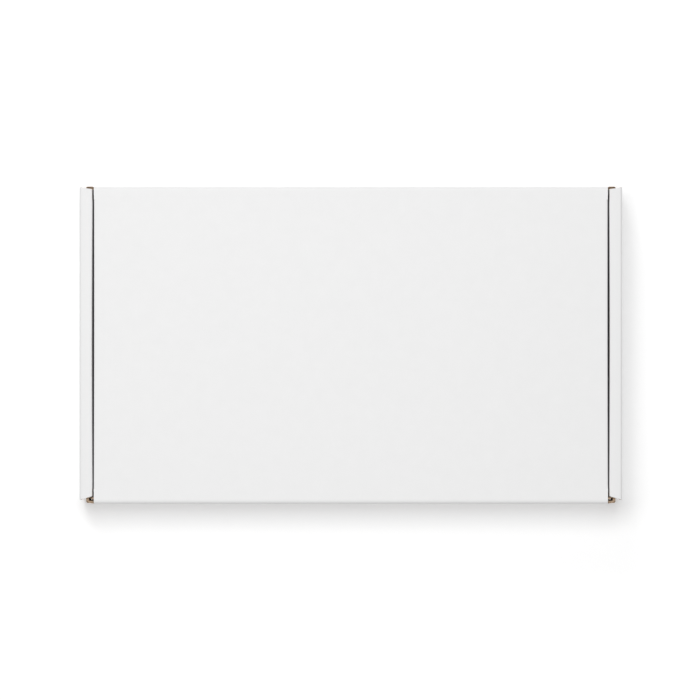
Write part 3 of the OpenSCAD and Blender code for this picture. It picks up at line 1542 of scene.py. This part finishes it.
    def settle(self, vertex: bpy.types.MeshVertex) -> None:
        """Ease a vertex from the straight stack of boards to where the folded paper lies.

        Args:
            vertex: A vertex of the joined tray.
        """
        p, t, ease = self.plan, self.board.thickness, self.plan.settled
        x, y, z = abs(vertex.co.x), vertex.co.y, vertex.co.z
        if z < t + p.lay_gap - TINY:
            return
        inside = y - p.front_y - t
        on_rim = abs(z - p.corner_top) < TINY and inside < self.board.bend - t + TINY and (
            p.lid_half < x < p.wall_end + self.board.bend + TINY)
        if on_rim:
            vertex.co.z -= p.relief * clamp((inside + ease.rim_start) / ease.rim_slope)
        if x < p.fold_x and z < p.corner_top + TINY and inside < ease.wall_fade and (
                inside < TINY or z < p.hidden_top or on_rim):
            crushed = between(ease.wall_back, (y - p.front_y) / t)
            vertex.co.y += crushed * p.lean(z) * easing(inside, ease.wall_fade)
        elif p.lid_half + TINY < x < p.half_l - 2 * t and z < p.hidden_top + TINY and (
                y > p.half_w - t - TINY):
            vertex.co.y += ease.back_lean * p.lean(z)
        on_inner = y > p.side_front + t and p.inner_x - MM < x < p.inner_x + t + TINY and (
            y < p.half_w - t - p.end_gap + TINY)
        on_strip = z > p.hidden_top + TINY and x > p.inner_x - MM and y > p.front_y + t
        if on_strip and not on_rim or on_inner:
            share = clamp((p.fold_x - x) / (p.strip_w - 2 * self.board.bend))
            outward(vertex, self.bow(y) * share * min(1.0, z / p.hidden_top))
        elif p.lid_half < x < p.half_l - 2 * t:
            share = clamp((x - p.lid_half) / (p.wall_end - p.lid_half))
            drawn = ease.wall_in * easing(y - p.side_front - ease.whole, LEAN / 2)
            spread = ease.back_out * easing(p.side_back - ease.whole - y, LEAN)
            outward(vertex, (spread - drawn) * share)

    def build(self) -> bpy.types.Object:
        """Make the tray and stand it in for the CAD tray.

        Returns:
            The tray.
        """
        tray = self.joined("tray_board", self.liners() + self.flutes() + self.tabs())
        for vertex in tray.data.vertices:
            self.settle(vertex)
        self.dress(tray)
        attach(tray, "tray")
        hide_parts("tray")
        return tray


class Lid(BoardPiece):
    """Lid panel with its two dust flaps, up to the papers of the moving folds."""

    @property
    def ends(self) -> tuple[float, float]:
        """Front and back ends of the panel, where the moving folds start."""
        return -self.plan.half_w + FRONT_ZONE.on_lid, self.plan.half_w - BACK_ZONE.on_lid

    def liner(self, side: Side) -> bpy.types.Object:
        """Fold one liner of the lid.

        Args:
            side: Which liner.

        Returns:
            The liner as a closed shell.
        """
        p, d, bend = self.plan, self.board.depth(side), self.board.bend
        level, low, start = p.height - d, p.height - p.dust_drop, p.lid_half - bend
        front, back = self.ends
        sheet = Sheet(f"lid_{side.value}", self.papers, (-p.lid_half, front),
                      (p.lid_half, back), level)
        for y in (p.dust_front, p.dust_back):
            sheet.cut((0, y, 0), (0, 1, 0))
        for s in SIDES:
            sheet.cut((s * start, 0, 0), (1, 0, 0))
        sheet.drop(lambda q: abs(q.x) > start and p.dust_front < q.y < p.dust_back)
        sheet.slice(p.dust_front, p.dust_back)
        for s in SIDES:
            sheet.rim(lambda q: abs(q.x - s * start) < TINY
                      and p.dust_front - TINY < q.y < p.dust_back + TINY)
            sheet.turn((s * start, 0, p.height - bend), (0, s, 0))
            if side is Side.WHITE:
                sheet.crisp((0, 2), (s * start, p.height - bend), (s, 1), bend)
            sheet.rim(lambda q: abs(q.z - p.height + bend) < TINY and s * q.x > start)
            sheet.pull((0, 0, -(p.dust_drop - bend)))
            for end in (p.dust_front, p.dust_back):
                sheet.rounded(lambda q: s * q.x > start and abs(q.z - low) < TINY
                              and abs(q.y - end) < TINY, p.dust_r)
        return sheet.thickened(side, self.board, (Vector((0, 0, level)), Vector((0, 0, 1))))

    def flutes(self) -> list[bpy.types.Object]:
        """Make the fluted sheet of the panel and its dust flaps.

        Returns:
            The sheet and its crushed ends.
        """
        p, b = self.plan, self.board
        fold, start = b.bend - b.middle, p.lid_half - b.bend
        low, drop = p.height - p.dust_drop, p.dust_drop - b.bend
        line = MiddleLine((start + fold, low), (0, 1), True)
        line.straight(drop).fold(fold).straight(2 * start).fold(fold).straight(drop)

        def reach(x: float, z: float) -> tuple[float, float]:
            """Ends of the flutes, which follow the dust flaps' round corners.

            Args:
                x: Place across the lid.
                z: Height.

            Returns:
                The front and the back end.
            """
            if abs(x) < start + TINY:
                return self.ends
            up = max(0.0, p.dust_r - (z - low))
            inset = p.dust_r - math.sqrt(max(0.0, p.dust_r**2 - up**2))
            return p.dust_front + inset, p.dust_back - inset

        return fluted_sheet("lid_flutes", self.papers, line, b, reach)

    def bow(self, y: float) -> float:
        """How far the lid's side edges lie outwards at y."""
        return LID_BOW.at((y + self.plan.half_w) / (2 * self.plan.half_w))

    def build(self) -> bpy.types.Object:
        """Make the lid and stand it in for the CAD lid.

        Returns:
            The lid.
        """
        lid = self.joined("lid_board", self.liners() + self.flutes())
        edge = self.plan.lid_half - 2 * self.board.bend
        for vertex in lid.data.vertices:
            if abs(vertex.co.x) > edge:
                outward(vertex, self.bow(vertex.co.y))
        self.dress(lid)
        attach(lid, "lid")
        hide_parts("lid")
        return lid


class FrontFlap(BoardPiece):
    """Front flap with the two ears that tuck into the sides."""

    def liner(self, side: Side) -> bpy.types.Object:
        """Fold one liner of the flap.

        Args:
            side: Which liner.

        Returns:
            The liner as a closed shell.
        """
        p, d, bend = self.plan, self.board.depth(side), self.board.bend
        level, fold = -p.half_w + d, -p.half_w + bend
        low, zone = p.height - p.flap_drop, p.height - FRONT_ZONE.on_wall
        high = p.height - p.ear_top
        foot = high - p.ear_h
        sheet = Sheet(f"flap_{side.value}", self.papers, (-p.flap_end, low),
                      (p.flap_end, high), level, upright=True)
        for z in (foot, zone):
            sheet.cut((0, 0, z), (0, 0, 1))
        for s in SIDES:
            sheet.cut((s * p.lid_half, 0, 0), (1, 0, 0))
        sheet.drop(lambda q: abs(q.x) < p.lid_half and q.z > zone)
        for s in SIDES:
            sheet.rim(lambda q: abs(q.x - s * p.flap_end) < TINY and q.z > foot - TINY)
            sheet.turn((s * p.flap_end, fold, 0), (0, 0, s))
            for _ in range(LEAN_STEPS):
                sheet.pull((0, LEAN / LEAN_STEPS, 0))
            sheet.pull((0, p.ear_l - bend - LEAN, 0))
            end = -p.half_w + p.ear_l
            for z in (foot, high):
                sheet.rounded(lambda q: s * q.x > p.flap_end and abs(q.y - end) < TINY
                              and abs(q.z - z) < TINY, p.ear_r)
            sheet.rounded(lambda q: abs(q.x - s * p.flap_end) < TINY
                          and abs(q.z - low) < TINY, p.flap_r)
            if side is Side.WHITE:
                sheet.crisp((0, 1), (s * p.flap_end, fold), (s, -1), bend)
        look = (Vector((0, level, (low + foot) / 2)), Vector((0, -1, 0)))
        return sheet.thickened(side, self.board, look)

    def flutes(self) -> list[bpy.types.Object]:
        """Make the fluted sheet of the flap and its ears.

        Returns:
            The sheet and its crushed ends.
        """
        p, b = self.plan, self.board
        fold, reach_back = b.bend - b.middle, p.ear_l - b.bend
        level = -p.half_w + b.middle
        line = MiddleLine((-p.flap_end - fold, level + fold + reach_back), (0, -1), False)
        line.straight(reach_back).fold(fold).straight(2 * p.flap_end)
        line.fold(fold).straight(reach_back)
        high, end = p.height - p.ear_top, -p.half_w + p.ear_l
        foot, low = high - p.ear_h, p.height - p.flap_drop

        def reach(x: float, y: float) -> tuple[float, float]:
            """Ends of the flutes, which follow the flap's and the ears' round corners.

            Args:
                x: Place along the flap.
                y: Place along the ears.

            Returns:
                The lower and the upper end.
            """
            if abs(x) < p.lid_half:
                return low, p.height - FRONT_ZONE.on_wall
            if abs(x) < p.flap_end:
                up = max(0.0, abs(x) - p.flap_end + p.flap_r)
                return low + p.flap_r - math.sqrt(p.flap_r**2 - up**2), high
            up = max(0.0, p.ear_r - (end - y))
            inset = p.ear_r - math.sqrt(max(0.0, p.ear_r**2 - up**2))
            return foot + inset, high - inset

        return fluted_sheet("flap_flutes", self.papers, line, b, reach)

    def settle(self, vertex: bpy.types.MeshVertex) -> None:
        """Draw a vertex of the ears in, and crush the flap's top back beside the lid.

        Args:
            vertex: A vertex of the joined flap.
        """
        p, ease = self.plan, self.plan.settled
        share = clamp((abs(vertex.co.x) - p.lid_half) / (p.flap_end - p.lid_half))
        whole = p.side_front + ease.whole
        outward(vertex, -ease.ears_in * share * easing(vertex.co.y - whole, LEAN))
        beside = clamp((abs(vertex.co.x) - p.lid_half) / MM)
        crushed = between(ease.flap_back, (vertex.co.y + p.half_w) / self.board.thickness)
        vertex.co.y += crushed * beside * p.lean(vertex.co.z)

    def build(self) -> bpy.types.Object:
        """Make the flap and stand it in for the CAD flap.

        Returns:
            The flap.
        """
        flap = self.joined("front_flap_board", self.liners() + self.flutes())
        for vertex in flap.data.vertices:
            self.settle(vertex)
        self.dress(flap, ears=True)
        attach(flap, "front_flap")
        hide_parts("front_flap")
        return flap


@dataclass
class MovingFold(BoardPiece):
    """Paper of a fold that moves: both liners bend between the boards at its two sides."""

    name: str = "back_fold"
    zone: FoldZone = BACK_ZONE
    way: int = 1
    bodies: tuple[str, str] = ("tray", "lid")

    def liner(self, side: Side) -> bpy.types.Object:
        """Fold one liner over the corner.

        Args:
            side: Which liner.

        Returns:
            The liner as a closed shell.
        """
        p, z, d = self.plan, self.zone, self.board.depth(side)
        level, face = p.height - d, self.way * (p.half_w - d)
        rim = self.way * (p.half_w - z.on_lid)
        low, high = min(rim, face), max(rim, face)
        sheet = Sheet(f"{self.name}_{side.value}", self.papers, (-p.lid_half, low),
                      (p.lid_half, high), level)
        sheet.rim(lambda q: abs(q.y - face) < TINY)
        sheet.pull((0, 0, -(z.on_wall - d)))
        sheet.pick("EDGE", lambda q: abs(q.y - face) < TINY and abs(q.z - level) < TINY)
        bpy.ops.mesh.bevel(offset=z.softness(d), segments=12, profile=z.sharpness,
                           affect="EDGES")
        centre = Vector((0, (low + high) / 2, level))
        return sheet.thickened(side, self.board, (centre, Vector((0, 0, 1))))

    def build(self) -> bpy.types.Object:
        """Make the fold, give it soft creases and a UV map, and bake its place into its mesh.

        Returns:
            The fold.
        """
        fold = self.joined(self.name, self.liners())
        self.dress(fold)
        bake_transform(fold)
        return fold


# Floor, light and camera


@dataclass(frozen=True)
class Lamp:
    """A soft box.

    Attributes:
        name: Name of the lamp.
        place: Where its middle hangs.
        size: Its two sides.
        power: Watts.
        aimed: Whether it is turned to the box instead of straight down.
    """

    name: str
    place: tuple[float, float, float]
    size: tuple[float, float]
    power: float
    aimed: bool = False


LAMPS = (
    Lamp("key", (-0.14, 0.86, 4.0), (1.38, 1.31), 37.2),
    Lamp("near", (-0.11, 0.08, 0.95), (0.3, 0.3), 1.6),
    Lamp("back", (-0.5, 1.6, 1.6), (0.8, 0.8), 7.6, aimed=True),
)


@dataclass(frozen=True)
class Shot:
    """How the photo was taken, as its pixels tell.

    Attributes:
        per_pixel: Size of a pixel at the lid.
        pixels: Pixels across the photo.
        aside: Middle of the photo from the middle of the box, in pixels along X.
        up: The same along Y.
        distance: Height of the lens above the lid.
        sensor: Width of the camera's sensor, in its own millimetres.
    """

    per_pixel: float = 0.5527 * MM
    pixels: int = 700
    aside: float = -0.85
    up: float = -4.6
    distance: float = 3.6
    sensor: float = 36.0


@dataclass
class Studio:
    """White floor, soft light from the back left and the camera straight above."""

    plan: Plan
    shot: Shot = field(default_factory=Shot)

    @staticmethod
    def seen(tree: bpy.types.NodeTree) -> bpy.types.NodeSocket:
        """Tell the rays by which the camera sees a thing from those that light the box.

        Args:
            tree: A material's or the world's tree.

        Returns:
            1 for a ray that comes straight, by a mirror or through glass from the camera.
        """
        rays = tree.nodes.new("ShaderNodeLightPath")
        seen = rays.outputs["Is Camera Ray"]
        for kind in ("Is Glossy Ray", "Is Transmission Ray"):
            either = tree.nodes.new("ShaderNodeMath")
            either.operation = "MAXIMUM"
            tree.links.new(seen, either.inputs[0])
            tree.links.new(rays.outputs[kind], either.inputs[1])
            seen = either.outputs[0]
        return seen

    def floor(self) -> bpy.types.Object:
        """Lay a white floor that shows as white and keeps the box's shadow.

        Returns:
            The floor.
        """
        nothing_selected()
        bpy.ops.mesh.primitive_plane_add(size=12, location=(0, 0, 0))
        floor = bpy.context.object
        floor.name = floor.data.name = "floor"
        made = bpy.data.materials.new("floor_white")
        made.use_nodes = True
        tree = made.node_tree
        nodes, link = tree.nodes, tree.links.new
        surface = nodes["Principled BSDF"]
        surface.inputs["Base Color"].default_value = (0.86, 0.86, 0.86, 1)
        surface.inputs["Roughness"].default_value = 0.9
        surface.inputs["Specular IOR Level"].default_value = 0.0
        glow = nodes.new("ShaderNodeEmission")
        glow.inputs["Color"].default_value = (1, 1, 1, 1)
        glow.inputs["Strength"].default_value = FLOOR_GLOW
        dark = nodes.new("ShaderNodeEmission")
        dark.inputs["Strength"].default_value = 0.0
        choice = nodes.new("ShaderNodeMixShader")
        link(self.seen(tree), choice.inputs["Fac"])
        link(dark.outputs[0], choice.inputs[1])
        link(glow.outputs[0], choice.inputs[2])
        total = nodes.new("ShaderNodeAddShader")
        link(surface.outputs[0], total.inputs[0])
        link(choice.outputs[0], total.inputs[1])
        link(total.outputs[0], nodes["Material Output"].inputs["Surface"])
        floor.data.materials.append(made)
        floor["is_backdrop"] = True
        return floor

    def hang(self, lamp: Lamp) -> None:
        """Hang a soft box.

        Args:
            lamp: The soft box.
        """
        nothing_selected()
        bpy.ops.object.light_add(type="AREA", location=lamp.place)
        made = bpy.context.object
        made.name = lamp.name
        made.data.shape = "RECTANGLE"
        made.data.size, made.data.size_y = lamp.size
        made.data.energy = lamp.power
        if lamp.aimed:
            aim = Vector((0, 0, self.plan.height)) - Vector(lamp.place)
            made.rotation_euler = aim.to_track_quat("-Z", "Y").to_euler()

    def sky(self) -> None:
        """Light the room evenly; to the camera it is plain white."""
        world = bpy.data.worlds.new("room")
        bpy.context.scene.world = world
        world.use_nodes = True
        tree = world.node_tree
        nodes, link = tree.nodes, tree.links.new
        light = nodes["Background"]
        light.inputs["Color"].default_value = (1, 1, 1, 1)
        light.inputs["Strength"].default_value = ROOM_LIGHT
        white = nodes.new("ShaderNodeBackground")
        white.inputs["Color"].default_value = (1, 1, 1, 1)
        white.inputs["Strength"].default_value = 1.0
        choice = nodes.new("ShaderNodeMixShader")
        link(self.seen(tree), choice.inputs["Fac"])
        link(light.outputs[0], choice.inputs[1])
        link(white.outputs[0], choice.inputs[2])
        link(choice.outputs[0], nodes["World Output"].inputs["Surface"])

    def camera(self) -> None:
        """Look straight down through a long lens; the lid fills the frame as in the photo."""
        shot = self.shot
        nothing_selected()
        bpy.ops.object.camera_add(rotation=(0, 0, 0))
        camera = bpy.context.object
        camera.name = "photo_camera"
        camera.data.sensor_width = shot.sensor
        camera.data.lens = shot.sensor * shot.distance / (shot.per_pixel * shot.pixels)
        camera.data.clip_end = 50.0
        camera.location = (shot.aside * shot.per_pixel, shot.up * shot.per_pixel,
                           self.plan.height + shot.distance)
        bpy.context.scene.camera = camera

    def build(self) -> None:
        """Set the whole studio up."""
        self.floor()
        self.sky()
        for lamp in LAMPS:
            self.hang(lamp)
        self.camera()
        bpy.context.scene.view_settings.view_transform = "Standard"


def main() -> None:
    """Build the studio, then the box piece by piece."""
    logging.basicConfig(level=logging.INFO, format="%(name)s: %(message)s")
    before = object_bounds()
    low, high = before
    plan = Plan(half_l=(high[0] - low[0]) / 2, half_w=(high[1] - low[1]) / 2, height=high[2])
    Studio(plan).build()
    groups = PaperGroups(plan)
    papers = {
        Slot.WHITE: WHITE_PAPER.material(groups),
        Slot.KRAFT: KRAFT_PAPER.material(groups),
        Slot.CUT: CUT_PAPER.material(groups),
    }
    builders = [
        Tray(plan, papers),
        Lid(plan, papers),
        FrontFlap(plan, papers),
        MovingFold(plan, papers),
        MovingFold(plan, papers, "front_fold", FRONT_ZONE, -1, ("lid", "front_flap")),
    ]
    for builder in builders:
        piece = builder.build()
        LOG.info("%s: %d faces", piece.name, len(piece.data.polygons))


if __name__ == "__main__":
    main()
